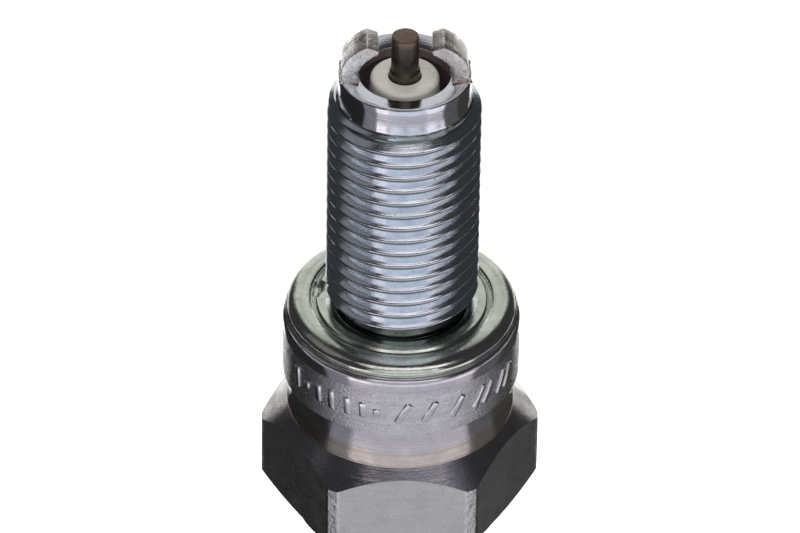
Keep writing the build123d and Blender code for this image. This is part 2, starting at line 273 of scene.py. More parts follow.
steelLooks = {
    # the thread's groove radii and dark colour paint shade into the thread roots; the dark colour also tints
    # pits and specks
    "threadPlating": {"fresh": (0.84, 0.88, 0.94), "shade": (0.7, 0.75, 0.84), "rough": 0.1,
                      "roughSpread": 0.1, "lineDepth": 0.0003, "grainDepth": 0.0002, "groove": (4.34, 4.43),
                      "pitSpeckAndRootShadeColor": (0.1, 0.12, 0.1), "speckSize": 0.1},
    "rimPlating": {"fresh": (0.82, 0.82, 0.87), "shade": (0.68, 0.67, 0.73), "rough": 0.07,
                   "roughSpread": 0.06, "lineDepth": 0.0005, "grainDepth": 0.0002,
                   "stain": (0.34, 0.26, 0.3), "stainAmount": 0.12, "levels": (17.2, 16.3)},
    "boreSkin": {"fresh": (0.34, 0.26, 0.28), "shade": (0.2, 0.14, 0.15), "rough": 0.4, "roughSpread": 0.2,
                 "metallic": 0.35, "scuffCover": 0.05},
    "barrelSatin": {"fresh": (0.86, 0.85, 0.89), "shade": (0.66, 0.65, 0.69), "rough": 0.22,
                    "roughSpread": 0.12, "lineDepth": 0.0002, "grainPerMm": 9.0, "grainDepth": 0.0042,
                    "scuffCover": 0.3},
    "grooveSatin": {"fresh": (0.88, 0.84, 0.9), "shade": (0.7, 0.66, 0.72), "rough": 0.1, "roughSpread": 0.08,
                    "lineDepth": 0.0006, "grainDepth": 0.0003},
    "hexSatin": {"fresh": (0.76, 0.745, 0.755), "shade": (0.66, 0.645, 0.655), "rough": 0.26,
                 "roughSpread": 0.12, "lineDepth": 0.0, "grainPerMm": 7.0, "grainDepth": 0.003,
                 "scuffCover": 0.35, "corners": 0.012},
    "collarWarm": {"fresh": (0.84, 0.76, 0.7), "shade": (0.66, 0.58, 0.52), "rough": 0.12,
                   "roughSpread": 0.08, "lineDepth": 0.0006, "grainDepth": 0.0003},
    "chamferPlating": {"fresh": (0.66, 0.63, 0.66), "shade": (0.45, 0.43, 0.45), "rough": 0.13,
                       "roughSpread": 0.1, "lineDepth": 0.0006, "grainDepth": 0.0005},
    "crimpPlating": {"fresh": (0.66, 0.65, 0.7), "shade": (0.46, 0.46, 0.5), "rough": 0.22,
                     "roughSpread": 0.14, "lineDepth": 0.001, "grainDepth": 0.001},
    "gasketZinc": {"fresh": (0.82, 0.86, 0.78), "shade": (0.6, 0.62, 0.54), "rough": 0.09, "roughSpread": 0.1,
                   "lineDepth": 0.0005, "grainPerMm": 6.0, "grainDepth": 0.0006,
                   "pitSpeckAndRootShadeColor": (0.25, 0.27, 0.22)},
    "nutPlating": {"fresh": (0.62, 0.61, 0.62), "shade": (0.44, 0.43, 0.44), "rough": 0.18,
                   "roughSpread": 0.12, "lineDepth": 0.0014, "grainDepth": 0.0004},
    "packingSteel": {"fresh": (0.5, 0.49, 0.48), "shade": (0.34, 0.33, 0.32), "rough": 0.35,
                     "roughSpread": 0.15},
    "coreCopper": {"fresh": (0.9, 0.48, 0.3), "shade": (0.66, 0.3, 0.18), "rough": 0.28, "roughSpread": 0.15,
                   "pitSpeckAndRootShadeColor": (0.25, 0.12, 0.08)}}
metals = {name: makeMetal(name, look) for name, look in steelLooks.items()}

electrodeLooks = {
    "strapNickel": {"fresh": (0.93, 0.91, 0.89), "dull": (0.7, 0.63, 0.58), "hot": (0.4, 0.29, 0.23),
                    "hotAmount": 0.32, "hotFrom": rimZ + 0.9, "hotTo": rimZ + 2.6, "rough": 0.14,
                    "roughSpread": 0.22, "dents": 0.005},
    "wireNickel": {"fresh": (0.17, 0.155, 0.14), "dull": (0.11, 0.095, 0.08), "hot": (0.28, 0.19, 0.15),
                   "hotAmount": 1.0, "hotFrom": rimZ + 2.2, "hotTo": tipZ - 0.05, "rough": 0.24,
                   "roughSpread": 0.22, "dents": 0.004}}
electrodeWear = {"grainPerMm": 7.0, "grainDepth": 0.002, "dentsPerMm": 2.2, "rubsPerMm": 1.4, "rubCover": 0.5,
                 "rubColor": (0.8, 0.77, 0.73), "pitShare": 0.45, "pitColor": (0.1, 0.08, 0.06),
                 "metallic": 0.95}


def makeElectrodeMetal(name, look):  # heat-stained nickel alloy, browner towards the hot end
    material, tree, place, shader = startMaterial(name)
    where = useGroup(tree, turnedPlace, {"Place": place})
    wear = electrodeWear
    grain = useGroup(tree, surfaceGrain, {"Place": place, "Per mm": wear["grainPerMm"]})
    coarse = useGroup(tree, surfaceGrain, {"Place": place, "Per mm": wear["dentsPerMm"]})
    rubs = useGroup(tree, scuffs, {"Place": place, "Per mm": wear["rubsPerMm"], "Cover": wear["rubCover"]})
    color = blendColor(tree, fade(tree, coarse["Blotch"], 0.4, 0.6), look["fresh"], look["dull"])
    patchy = fade(tree, coarse["Height"], 0.3, 0.6, 1.0 - look["hotAmount"] * 0.8, 1.0)
    hot = times(tree, fade(tree, where["Level"], look["hotFrom"], look["hotTo"]), patchy)
    color = blendColor(tree, times(tree, hot, look["hotAmount"]), color, look["hot"])
    color = blendColor(tree, times(tree, grain["Pits"], wear["pitShare"]), color, wear["pitColor"])
    color = blendColor(tree, rubs["Mask"], color, wear["rubColor"])
    rough = fade(tree, coarse["Height"], 0.3, 0.7, look["rough"], look["rough"] + look["roughSpread"])
    height = maths(tree, "ADD", times(tree, grain["Height"], wear["grainDepth"]),
                   times(tree, coarse["Height"], look["dents"]))
    connectShader(tree, shader, color, rough, height)
    shader.inputs["Metallic"].default_value = wear["metallic"]
    return material


def makePowder(name, look):  # ceramic, talc, glass seals and the resistor
    material, tree, place, shader = startMaterial(name)
    where = useGroup(tree, turnedPlace, {"Place": place})
    grain = useGroup(tree, surfaceGrain, {"Place": place, "Per mm": look["grainPerMm"]})
    dots = useGroup(tree, specks, {"Place": place, "Per mm": 0.9, "Size": look["speckSize"]})
    color = blendColor(tree, fade(tree, grain["Blotch"], 0.35, 0.65), look["fresh"], look["shade"])
    if "scorch" in look:
        low, high = look["scorchLevels"]
        patchy = fade(tree, grain["Blotch"], 0.3, 0.7, 0.3, 1.0)
        scorched = times(tree, fade(tree, where["Level"], low, high), patchy)
        color = blendColor(tree, scorched, color, look["scorch"])
    color = blendColor(tree, times(tree, dots["Mask"], 0.55), color, look["speck"])
    rough = fade(tree, grain["Blotch"], 0.3, 0.7, look["rough"], look["rough"] + look["roughSpread"])
    connectShader(tree, shader, color, rough, times(tree, grain["Height"], look["grainDepth"]))
    feed(tree, shader, {"Coat Weight": look.get("coat", 0.0), "Coat Roughness": 0.06})
    return material


powderLooks = {
    "insulatorCeramic": {"fresh": (0.6, 0.6, 0.57), "shade": (0.54, 0.53, 0.49), "rough": 0.2,
                         "roughSpread": 0.12, "grainPerMm": 5.0, "grainDepth": 0.0004, "speckSize": 0.06,
                         "speck": (0.3, 0.24, 0.18), "coat": 0.5, "scorch": (0.52, 0.49, 0.43),
                         "scorchLevels": (9.0, 17.5)},
    "talcPowder": {"fresh": (0.7, 0.69, 0.65), "shade": (0.58, 0.57, 0.53), "rough": 0.75,
                   "roughSpread": 0.15, "grainPerMm": 4.0, "grainDepth": 0.004, "speckSize": 0.15,
                   "speck": (0.4, 0.38, 0.34)},
    "sealGlass": {"fresh": (0.2, 0.17, 0.14), "shade": (0.12, 0.1, 0.09), "rough": 0.25, "roughSpread": 0.2,
                  "grainPerMm": 5.0, "grainDepth": 0.002, "speckSize": 0.2, "speck": (0.6, 0.4, 0.25)},
    "resistorBlack": {"fresh": (0.07, 0.07, 0.07), "shade": (0.12, 0.11, 0.1), "rough": 0.5,
                      "roughSpread": 0.2, "grainPerMm": 6.0, "grainDepth": 0.002, "speckSize": 0.15,
                      "speck": (0.3, 0.28, 0.26)}}
powders = {name: makePowder(name, look) for name, look in powderLooks.items()}
electrodes = {name: makeElectrodeMetal(name, look) for name, look in electrodeLooks.items()}
print("materials built")

# the CAD nodes that stay, all sealed inside, take their finishes here
keptFinishes = {
    "inner_packing": metals["packingSteel"], "lower_wire_ring": metals["packingSteel"],
    "upper_wire_ring": metals["packingSteel"], "talc_packing": powders["talcPowder"],
    "electrode_core": metals["coreCopper"], "lower_glass_seal": powders["sealGlass"],
    "upper_glass_seal": powders["sealGlass"], "resistor": powders["resistorBlack"]}
for nodeName, finish in keptFinishes.items():
    for materialSlot in nodes[nodeName].material_slots:
        materialSlot.material = finish


# mesh helpers, outlines are (radius, height, rounding) in mm

def rounded(corners, arcSteps=3):
    points = [corners[0][:2]]
    for before, corner, after in zip(corners, corners[1:], corners[2:]):
        here, size = Vector(corner[:2]), corner[2] if len(corner) > 2 else 0.0
        back, ahead = Vector(before[:2]) - here, Vector(after[:2]) - here
        if size <= 0:
            points.append(tuple(here))
            continue
        reach = size / tan(back.angle(ahead) / 2)
        reach = min(reach, back.length * 0.48, ahead.length * 0.48)
        start, end = here + back.normalized() * reach, here + ahead.normalized() * reach
        for step in range(arcSteps + 1):
            t = step / arcSteps
            points.append(tuple(start * (1 - t) ** 2 + here * 2 * t * (1 - t) + end * t * t))
    points.append(corners[-1][:2])
    return points


def lathe(bm, points, steps, closed=False):
    verts = [bm.verts.new((r * mm, 0, z * mm)) for r, z in points]
    edges = [bm.edges.new(pair) for pair in zip(verts, verts[1:])]
    if closed:
        edges.append(bm.edges.new((verts[-1], verts[0])))
    bmesh.ops.spin(bm, geom=verts + edges, cent=(0, 0, 0), axis=(0, 0, 1), angle=2 * pi,
                   steps=steps, use_merge=True)


def vertsIn(items):
    return [item for item in items if isinstance(item, bmesh.types.BMVert)]


def extrudeRows(bm, loop, rows):  # grows a ring through (radius, height) rows, fixed or found from the angle
    for row in rows:
        grown = bmesh.ops.extrude_edge_only(bm, edges=loop)["geom"]
        fresh = set(vertsIn(grown))
        for vert in fresh:
            angle = atan2(vert.co.y, vert.co.x)
            r, z = row(angle) if callable(row) else row
            vert.co = Vector((r * cos(angle), r * sin(angle), z)) * mm
        loop = [item for item in grown if isinstance(item, bmesh.types.BMEdge) and set(item.verts) <= fresh]
    return loop


def ringAt(bm, z):
    rims = [edge for edge in bm.edges if edge.is_boundary]
    return [edge for edge in rims if all(abs(vert.co.z / mm - z) < 0.001 for vert in edge.verts)]


def threadSleeve(bm, section, pitch, start, turns, steps, limit, low, high):
    verts = [bm.verts.new((r * mm, 0, (start + z) * mm)) for r, z in section]
    edges = [bm.edges.new(pair) for pair in zip(verts, verts[1:])]
    bmesh.ops.spin(bm, geom=verts + edges, cent=(0, 0, 0), axis=(0, 0, 1), dvec=(0, 0, pitch * mm / steps),
                   angle=2 * pi, steps=steps)
    oneTurn = bm.verts[:] + bm.edges[:] + bm.faces[:]
    for turn in range(1, turns):
        copied = bmesh.ops.duplicate(bm, geom=oneTurn)["geom"]
        bmesh.ops.translate(bm, verts=vertsIn(copied), vec=(0, 0, turn * pitch * mm))
    bmesh.ops.remove_doubles(bm, verts=bm.verts, dist=1e-6)
    for vert in bm.verts:
        r, z = hypot(vert.co.x, vert.co.y) / mm, vert.co.z / mm
        held = limit(r, z)
        if held != r:
            vert.co.x *= held / r
            vert.co.y *= held / r
    for z, side in ((high, 1), (low, -1)):
        bmesh.ops.bisect_plane(bm, geom=bm.verts[:] + bm.edges[:] + bm.faces[:], dist=1e-7,
                               plane_co=(0, 0, z * mm), plane_no=(0, 0, side), clear_outer=True)


def addObject(name, data):
    made = bpy.data.objects.new(name, data)
    bpy.context.scene.collection.objects.link(made)
    return made


def addPiece(bm, name, materials):
    mesh = bpy.data.meshes.new(name)
    bm.to_mesh(mesh)
    bm.free()
    for material in materials:
        mesh.materials.append(material)
    return addObject(name, mesh)


def finishMesh(bm, name, materials, crease):
    bmesh.ops.remove_doubles(bm, verts=bm.verts, dist=1e-7)
    bmesh.ops.dissolve_degenerate(bm, edges=bm.edges, dist=1e-7)
    bmesh.ops.recalc_face_normals(bm, faces=bm.faces)
    for face in bm.faces:
        face.smooth = True
    for edge in bm.edges:
        if edge.is_manifold and edge.calc_face_angle(0) > radians(crease):
            edge.smooth = False
    return addPiece(bm, name, materials)


def place(piece, body, slot, *replaced):
    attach(piece, body)
    if replaced:
        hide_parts(*replaced)


shell = {
    "steps": 180, "turns": 18, "threadStart": -18.75, "phase": 0.1, "majorR": 4.95, "pitch": 1.0,
    "depth": 0.6134, "crestWidth": 0.125, "rootRound": 0.06, "leadIn": 1.6, "runOut": 1.3, "neckR": 4.25,
    "neckLength": 1.9, "rimEdge": 0.15, "rimFaceR": 3.95, "rimBevel": 0.15, "reliefR": 4.3,
    "reliefTop": 0.55, "rimBoreR": 2.92, "rimLand": 0.9, "cavityR": 3.25, "cavityZ": 7.05, "insideR": 4.2,
    "skinDrop": 0.4, "ledgeZ": 5.45, "ledgeR": 2.85, "guideR": 3.5, "barrelR": 7.7, "barrelEdge": 0.8,
    "barrelEndZ": -5.5, "barrelRows": (-2.0, -2.4, -3.2, -4.0, -4.7), "stampTop": -2.0, "grooveR": 7.15,
    "grooveSteps": 10, "grooveEndZ": -8.2, "warmFromZ": -7.1, "collarR": 7.4, "hexTopZ": -8.37,
    "hexBottomZ": -14.8, "hexCornerR": 9.039, "hexChamfer": 43.0, "hexUnder": 20.0,
    "chamferRows": (0.3, 0.65, 0.93, 1.0), "underRows": (0.93, 0.65, 0.3, 0.0),
    "sideRows": (0.02, 0.12, 0.3, 0.5, 0.7, 0.88, 0.98, 1.0), "crimpR": 6.85, "crimpEdge": 0.75,
    "lipR": 4.87, "lipDepth": 0.85, "flangeBoreR": 5.75}


def hexRadius(angle):
    fromFlat = (angle - pi / 2) % (pi / 3)
    fromFlat = min(fromFlat, pi / 3 - fromFlat)
    return min(hexFlatY / cos(fromFlat), shell["hexCornerR"])


def hexChamferRow(share, edgeZ, side):
    def row(angle):
        r = shell["collarR"] + (hexRadius(angle) - shell["collarR"]) * share
        slope = shell["hexChamfer"] if side > 0 else shell["hexUnder"]
        return r, edgeZ - side * (r - shell["collarR"]) * tan(radians(slope))
    return row


def hexSideRow(share):
    def row(angle):
        r = hexRadius(angle)
        high = shell["hexTopZ"] - (r - shell["collarR"]) * tan(radians(shell["hexChamfer"]))
        low = shell["hexBottomZ"] + (r - shell["collarR"]) * tan(radians(shell["hexUnder"]))
        return r, high + (low - high) * share
    return row


def threadSection(majorR, depth, pitch, crestWidth, rootRound):  # one turn of thread with a rolled crest
    flank = radians(30)
    rootR, slant = majorR - depth, depth * tan(flank)
    apex, foot = crestWidth / 2 / tan(flank), crestWidth / 2 + slant
    crestRound = 2 * apex / cos(flank) * tan(flank)
    return rounded([(rootR, -pitch / 2), (rootR, -foot, rootRound), (majorR + apex, 0, crestRound),
                    (rootR, foot, rootRound), (rootR, pitch / 2)], 6)


def shellZone(s, r, z, tilt, neckBottom):  # the finish a face of the shell takes
    inside = r < s.insideR and s.reliefTop < z < rimZ - s.rimBevel
    inside = inside or (r < s.reliefR - 0.1 and z <= s.reliefTop)
    inside = inside or (r < s.flangeBoreR + 0.02 and crimpZ + 0.3 < z < shoulderZ - 0.2)
    if inside and z <= rimZ - s.skinDrop:
        return "boreSkin"
    if z > neckBottom:
        return "rimPlating"
    if z > shoulderZ + 0.02:
        return "threadPlating"
    if s.stampTop > z > s.barrelEndZ + 0.1:
        return "barrelSatin"
    if z > s.warmFromZ:
        return "grooveSatin"
    if z > s.hexTopZ:
        return "collarWarm"
    if z > s.hexBottomZ + 0.01:
        return "chamferPlating" if tilt > 0.3 else "hexSatin"
    return "crimpPlating"


def makeShell():
    s = SimpleNamespace(**shell)
    bm = bmesh.new()
    neckBottom = rimZ - s.neckLength
    section = threadSection(s.majorR, s.depth, s.pitch, s.crestWidth, s.rootRound)

    def limit(r, z):  # cones that lead the thread in at the neck and run it out at the relief
        leadIn = s.neckR + max(0.0, neckBottom - z) * s.leadIn
        runOut = s.reliefR + max(0.0, z - s.reliefTop) * s.runOut
        return min(r, leadIn, runOut)

    threadSleeve(bm, section, s.pitch, rimZ + s.phase + s.threadStart, s.turns, s.steps, limit,
                 s.reliefTop, neckBottom)
    topLoop, lowLoop = ringAt(bm, neckBottom), ringAt(bm, s.reliefTop)
    top = [(s.neckR, z) for z in (neckBottom, neckBottom + 0.06, rimZ - 1.0, rimZ - 0.5)]
    top += [(s.neckR, rimZ, s.rimEdge), (s.rimFaceR, rimZ, 0.2), (s.rimBoreR, rimZ - s.rimBevel, 0.1),
            (s.rimBoreR, rimZ - s.rimLand, 0.1), (s.cavityR, rimZ - s.rimLand - 0.35, 0.1),
            (s.cavityR, rimZ - 5), (s.cavityR, s.cavityZ)]
    topLoop = extrudeRows(bm, topLoop, rounded(top)[1:])
    grooveTop = s.barrelEndZ - 0.12
    count = s.grooveSteps
    groove = [(s.grooveR + (s.collarR - 0.02 - s.grooveR) * (t / count) ** 1.6,
               grooveTop + (s.grooveEndZ - grooveTop) * t / count) for t in range(count + 1)]
    low = [(s.reliefR, s.reliefTop), (s.reliefR, 0.0), (s.reliefR, shoulderZ, 0.2), (6.0, shoulderZ),
           (6.7, shoulderZ), (s.barrelR, shoulderZ, s.barrelEdge)]
    low += [(s.barrelR, z) for z in s.barrelRows]
    low = rounded(low + [(s.barrelR, s.barrelEndZ, 0.1), groove[0]], 4)[1:]
    low += groove[1:]
    low += rounded([groove[-1], (s.collarR, s.grooveEndZ, 0.1), (s.collarR, s.hexTopZ)])[1:]
    low += [hexChamferRow(share, s.hexTopZ, 1) for share in s.chamferRows]
    low += [hexSideRow(share) for share in s.sideRows]
    low += [hexChamferRow(share, s.hexBottomZ, -1) for share in s.underRows]
    low += rounded([(s.collarR, s.hexBottomZ), (s.crimpR, s.hexBottomZ, 0.1), (s.crimpR, crimpZ + 0.7),
                    (s.crimpR, crimpZ, s.crimpEdge), (s.lipR, crimpZ, 0.1),
                    (s.lipR, crimpZ + s.lipDepth, 0.1),
                    (s.flangeBoreR, crimpZ + 0.9, 0.05), (s.flangeBoreR, -6.0), (s.flangeBoreR, -1.3, 0.1),
                    (s.guideR, 0.1, 0.2), (s.guideR, 3.6, 0.1), (s.ledgeR, 4.4, 0.1),
                    (s.ledgeR, s.ledgeZ, 0.1), (s.cavityR, s.ledgeZ + 0.6)], 4)[1:]
    lowLoop = extrudeRows(bm, lowLoop, low)
    bmesh.ops.bridge_loops(bm, edges=topLoop + lowLoop)
    zones = ["threadPlating", "rimPlating", "boreSkin", "barrelSatin", "grooveSatin", "hexSatin",
             "crimpPlating", "chamferPlating", "collarWarm"]
    bm.normal_update()
    for face in bm.faces:
        centre = face.calc_center_median() / mm
        zone = shellZone(s, hypot(centre.x, centre.y), centre.z, abs(face.normal.z), neckBottom)
        face.material_index = zones.index(zone)
    piece = finishMesh(bm, "shellBody", [metals[zone] for zone in zones], 24)
    place(piece, "plug", "plated_steel", "metal_shell")
    return piece


shellBody = makeShell()
ticks = {"proud": 0.1, "level": -3.6, "slanted": (0, 13, 27, 40, 46, 56, 62), "slant": 28, "length": 1.75,
         "width": 0.5, "upright": (-13, -20, -28, -37, -45, -53, -61),
         "uprightLengths": (0.5, 1.2, 1.4, 1.5, 1.3, 0.5, 1.6), "lean": -4, "thickness": 0.3, "sunk": 0.15,
         "edge": 0.12}


def makeTicks():  # a plain row of raised marks round the barrel
    t = SimpleNamespace(**ticks)
    bm = bmesh.new()
    marks = [(angle, t.slant, t.length) for angle in t.slanted]
    marks += [(angle, t.lean, length) for angle, length in zip(t.upright, t.uprightLengths)]
    for angle, slant, length in marks:
        made = bmesh.ops.create_cube(bm, size=mm)["verts"]
        bmesh.ops.scale(bm, vec=(t.width, t.thickness, length), verts=made)
        edges = list({edge for vert in made for edge in vert.link_edges})
        made = bmesh.ops.bevel(bm, geom=edges, offset=t.edge * mm, offset_type="OFFSET", affect="EDGES",
                               segments=2, profile=0.5, material=-1)["verts"]
        bmesh.ops.rotate(bm, verts=made, matrix=Matrix.Rotation(radians(slant), 3, "Y"))
        out = shell["barrelR"] + t.proud - t.sunk
        bmesh.ops.translate(bm, verts=made, vec=(0, -out * mm, t.level * mm))
        bmesh.ops.rotate(bm, verts=made, matrix=Matrix.Rotation(radians(angle), 3, "Z"))
    piece = finishMesh(bm, "barrelTicks", [metals["grooveSatin"]], 50)
    place(piece, "plug", "plated_steel")


makeTicks()
print("shell built,", len(shellBody.data.polygons), "faces")

gasket = {"steps": 240, "lipR": 4.5, "foldR": 5.78, "crownR": 6.25, "outerR": 7.5, "sheet": 0.32,
          "underR": 5.2, "crownBack": 0.5, "crownDip": 0.26, "crownFall": 0.62, "backArc": (172, 89, -9),
          "frontArc": (81, -1, -9), "tabs": (170.0, 110.0, 50.0), "tabWidth": 10.0, "tabReach": 0.12,
          "tabDepth": 0.9, "tabSink": 0.1, "dentR": 5.5, "dentWidth": 0.35, "dentDepth": 0.3, "wave": 0.012,
          "wavesPerTurn": 2.5}


def makeGasket():
    g = SimpleNamespace(**gasket)
    top, bottom, sheet = seatZ, shoulderZ, g.sheet
    arcs = [(radians(angle), g.crownBack, g.crownDip) for angle in range(*g.backArc)]
    arcs += [(radians(angle), g.outerR - g.crownR, g.crownFall) for angle in range(*g.frontArc)]
    crown = [(g.crownR + reach * cos(arc), top - fall * (1 - sin(arc))) for arc, reach, fall in arcs]
    outline = [(g.lipR, top - 0.36, 0.05), (g.lipR + 0.05, top - 0.16, 0.1), (4.95, top - 0.1, 0.3),
               (g.foldR - 0.28, top - 0.14, 0.2), (g.foldR - 0.06, top - 0.34, 0.06)] + crown
    outline += [(g.outerR - 0.1, top - 0.67, 0.03), (g.outerR - 0.1, top - 0.71, 0.03),
                (g.outerR - 0.02, top - 0.77, 0.08), (g.outerR - 0.08, bottom + 0.05, 0.15),
               (7.0, bottom, 0.2), (6.3, bottom), (g.underR, bottom, 0.05),
               (g.underR, bottom + sheet - 0.05, 0.05), (g.outerR - sheet - 0.1, bottom + sheet - 0.03, 0.1),
               (g.outerR - sheet - 0.1, top - sheet - 0.05, 0.1), (g.foldR, top - sheet - 0.12, 0.05),
               (g.lipR, top - sheet - 0.12, 0.05)]
    bm = bmesh.new()
    points = rounded([outline[-1]] + outline + [outline[0]], 5)[1:-1]
    lathe(bm, points, g.steps, closed=True)
    for vert in bm.verts:  # the pinched tabs that keep it on the thread, and a faint rolled wave
        r, angle = hypot(vert.co.x, vert.co.y) / mm, degrees(atan2(vert.co.y, vert.co.x)) % 360
        nearest = min(abs((angle - tab + 180) % 360 - 180) for tab in g.tabs)
        pinch = max(0.0, 1 - nearest / g.tabWidth) ** 0.5 * max(0.0, 1 - (r - g.lipR) / g.tabDepth)
        around = Vector((cos(radians(angle)), sin(radians(angle)), 0.3))
        wave = noise.noise(around * g.wavesPerTurn) * g.wave
        shrink = 1 - (g.tabReach * pinch) / r
        vert.co.x *= shrink
        vert.co.y *= shrink
        if r < g.foldR + 0.1 and vert.co.z > (top - 0.35) * mm:
            dent = max(0.0, 1 - (nearest / g.tabWidth) ** 2) * max(0.0, 1 - abs(r - g.dentR) / g.dentWidth)
            vert.co.z -= (g.tabSink * pinch + g.dentDepth * dent - wave * (r < 5.4)) * mm
    piece = finishMesh(bm, "sealGasket", [metals["gasketZinc"]], 50)
    place(piece, "gasket", "gasket_steel", "seat_gasket")


makeGasket()
print("gasket built")

strap = {"width": 2.2, "outerR": 4.03, "innerR": 2.98, "tipR": 1.68, "tipRise": 2.34, "topR": 2.42,
         "topRise": 2.64, "underTipR": 1.7, "underTipRise": 2.02, "outerBend": (0.12, 1.95),
         "innerBend": (2.66, 1.62), "footSunk": 0.17, "footR": 3.9, "edge": 0.07, "rough": 0.007,
         "roughPerMm": (2.6, 7.0)}


def bendPoints(start, pull, end, steps):
    start, pull, end = Vector(start), Vector(pull), Vector(end)
    shares = [step / steps for step in range(steps + 1)]
    return [tuple(start * (1 - t) ** 2 + pull * 2 * t * (1 - t) + end * t * t) for t in shares]


def makeStrap(name, nodeName, side):
    s = SimpleNamespace(**strap)
    (inward, rise), (pullR, pullRise) = s.outerBend, s.innerBend
    outer = bendPoints((s.outerR, rimZ + 0.7), (s.outerR - inward, rimZ + rise),
                       (s.topR, rimZ + s.topRise), 9)
    inner = bendPoints((s.underTipR, rimZ + s.underTipRise), (pullR, rimZ + pullRise),
                       (s.innerR + 0.02, rimZ + 0.62), 8)
    outline = [(s.innerR, rimZ - s.footSunk), (s.footR, rimZ - 0.03), (s.outerR, rimZ),
               (s.outerR, rimZ + 0.6)] + outer + [(s.tipR, rimZ + s.tipRise)] + inner
    bm = bmesh.new()
    verts = [bm.verts.new((side * r * mm, -s.width / 2 * mm, z * mm)) for r, z in outline]
    face = bm.faces.new(verts)
    grown = bmesh.ops.extrude_face_region(bm, geom=[face])["geom"]
    bmesh.ops.translate(bm, verts=vertsIn(grown), vec=(0, s.width * mm, 0))
    bmesh.ops.recalc_face_normals(bm, faces=bm.faces)
    rims = [edge for edge in bm.edges if edge.calc_face_angle(0) > radians(40)]
    bmesh.ops.bevel(bm, geom=rims, offset=s.edge * mm, offset_type="OFFSET", affect="EDGES", segments=2,
                    profile=0.5, material=-1)
    ends = [face for face in bm.faces if abs(face.normal.y) > 0.99 and len(face.verts) > 8]
    bmesh.ops.triangulate(bm, faces=ends)
    longEdges = [edge for edge in bm.edges if edge.calc_length() > 0.25 * mm]
    bmesh.ops.subdivide_edges(bm, edges=longEdges, cuts=3, use_grid_fill=True)
    bmesh.ops.triangulate(bm, faces=[face for face in bm.faces if len(face.verts) > 4])
    wide, fine = s.roughPerMm
    for vert in bm.verts:
        where = vert.co / mm
        if where.z > rimZ + 0.02:
            push = noise.noise(where * wide) * s.rough + noise.noise(where * fine) * s.rough * 0.5
            vert.co += vert.normal * (push - s.rough) * mm
    piece = finishMesh(bm, name, [electrodes["strapNickel"]], 35)
    place(piece, "plug", "electrode_nickel", nodeName)


makeStrap("strapRight", "side_electrode_right", 1)
makeStrap("strapLeft", "side_electrode_left", -1)

weld = {"count": 40, "size": 0.2, "innerR": 3.06, "outerR": 4.06, "spacing": 0.45, "strayR": 0.04,
        "strayY": 0.05, "lumps": 0.05, "lumpsPerMm": 3.0, "sunk": 0.02, "seed": 5}


def makeWeldBeads(name, side):  # rough flash squeezed out round a strap's foot
    w = SimpleNamespace(**weld)
    bm = bmesh.new()
    halfWidth, inner, outer = strap["width"] / 2, strap["innerR"], strap["outerR"]
    length = 2 * (strap["width"] + outer - inner)
    for index in range(w.count):
        along = length * index / w.count
        if along < strap["width"]:
            r, y = outer, along - halfWidth
        elif along < strap["width"] + outer - inner:
            r, y = outer - (along - strap["width"]), halfWidth
        elif along < 2 * strap["width"] + outer - inner:
            r, y = inner, halfWidth - (along - strap["width"] - outer + inner)
        else:
            r, y = inner + along - 2 * strap["width"] - outer + inner, -halfWidth
        random = noise.noise_vector(Vector((index * w.spacing, side * 2.0, w.seed)))
        size = w.size * (0.7 + 0.9 * abs(random.x))
        made = bmesh.ops.create_icosphere(bm, subdivisions=2, radius=mm)["verts"]
        bmesh.ops.scale(bm, vec=(size, size, size * (0.4 + 0.5 * abs(random.y))), verts=made)
        r = min(max(r, w.innerR), w.outerR)
        spot = (side * (r + w.strayR * random.x) * mm, (y + w.strayY * random.z) * mm, rimZ * mm)
        bmesh.ops.translate(bm, verts=made, vec=spot)
    for vert in bm.verts:
        vert.co += Vector(noise.noise_vector(vert.co / mm * w.lumpsPerMm)) * w.lumps * mm
        vert.co.z = max(vert.co.z, (rimZ - w.sunk) * mm)
    piece = finishMesh(bm, name, [electrodes["strapNickel"]], 60)
    place(piece, "plug", "electrode_nickel")


makeWeldBeads("weldRight", 1)
makeWeldBeads("weldLeft", -1)
print("side electrodes built")

centre = {"steps": 96, "tipR": 0.88, "stemR": 0.98, "flareZ": 0.4, "tipEdge": 0.09, "headR": 1.5,
          "headLength": 1.2, "crownR": 1.1, "crownLength": 0.8, "wornLength": 0.3, "worn": 0.03}


def makeCentre():
    c = SimpleNamespace(**centre)
    headTop = stemZ + c.crownLength + c.headLength
    bm = bmesh.new()
    outline = rounded([(0, tipZ), (0.45, tipZ), (c.tipR, tipZ, c.tipEdge), (c.tipR, rimZ + 1.5),
                       (c.tipR, rimZ + c.flareZ, 0.1), (c.stemR, rimZ + 0.12, 0.1),
                       (c.stemR, rimZ - 1), (c.stemR, headTop, 0.05),
                       (c.headR, headTop, 0.1), (c.headR, stemZ + c.crownLength, 0.1),
                       (c.crownR, stemZ + c.crownLength, 0.05), (c.crownR, stemZ, 0.1), (0, stemZ)], 3)
    lathe(bm, outline, c.steps)
    for vert in bm.verts:
        if vert.co.z > (tipZ - c.wornLength) * mm:  # spark-eaten edge
            where = vert.co / mm
            vert.co += Vector((vert.co.x, vert.co.y, 0)) * noise.noise(where * 3.0) * c.worn
            vert.co.z -= abs(noise.noise(where * 2.2)) * c.worn * mm
    piece = finishMesh(bm, "centreWire", [electrodes["wireNickel"]], 40)
    place(piece, "plug", "electrode_nickel", "centre_electrode")


makeCentre()

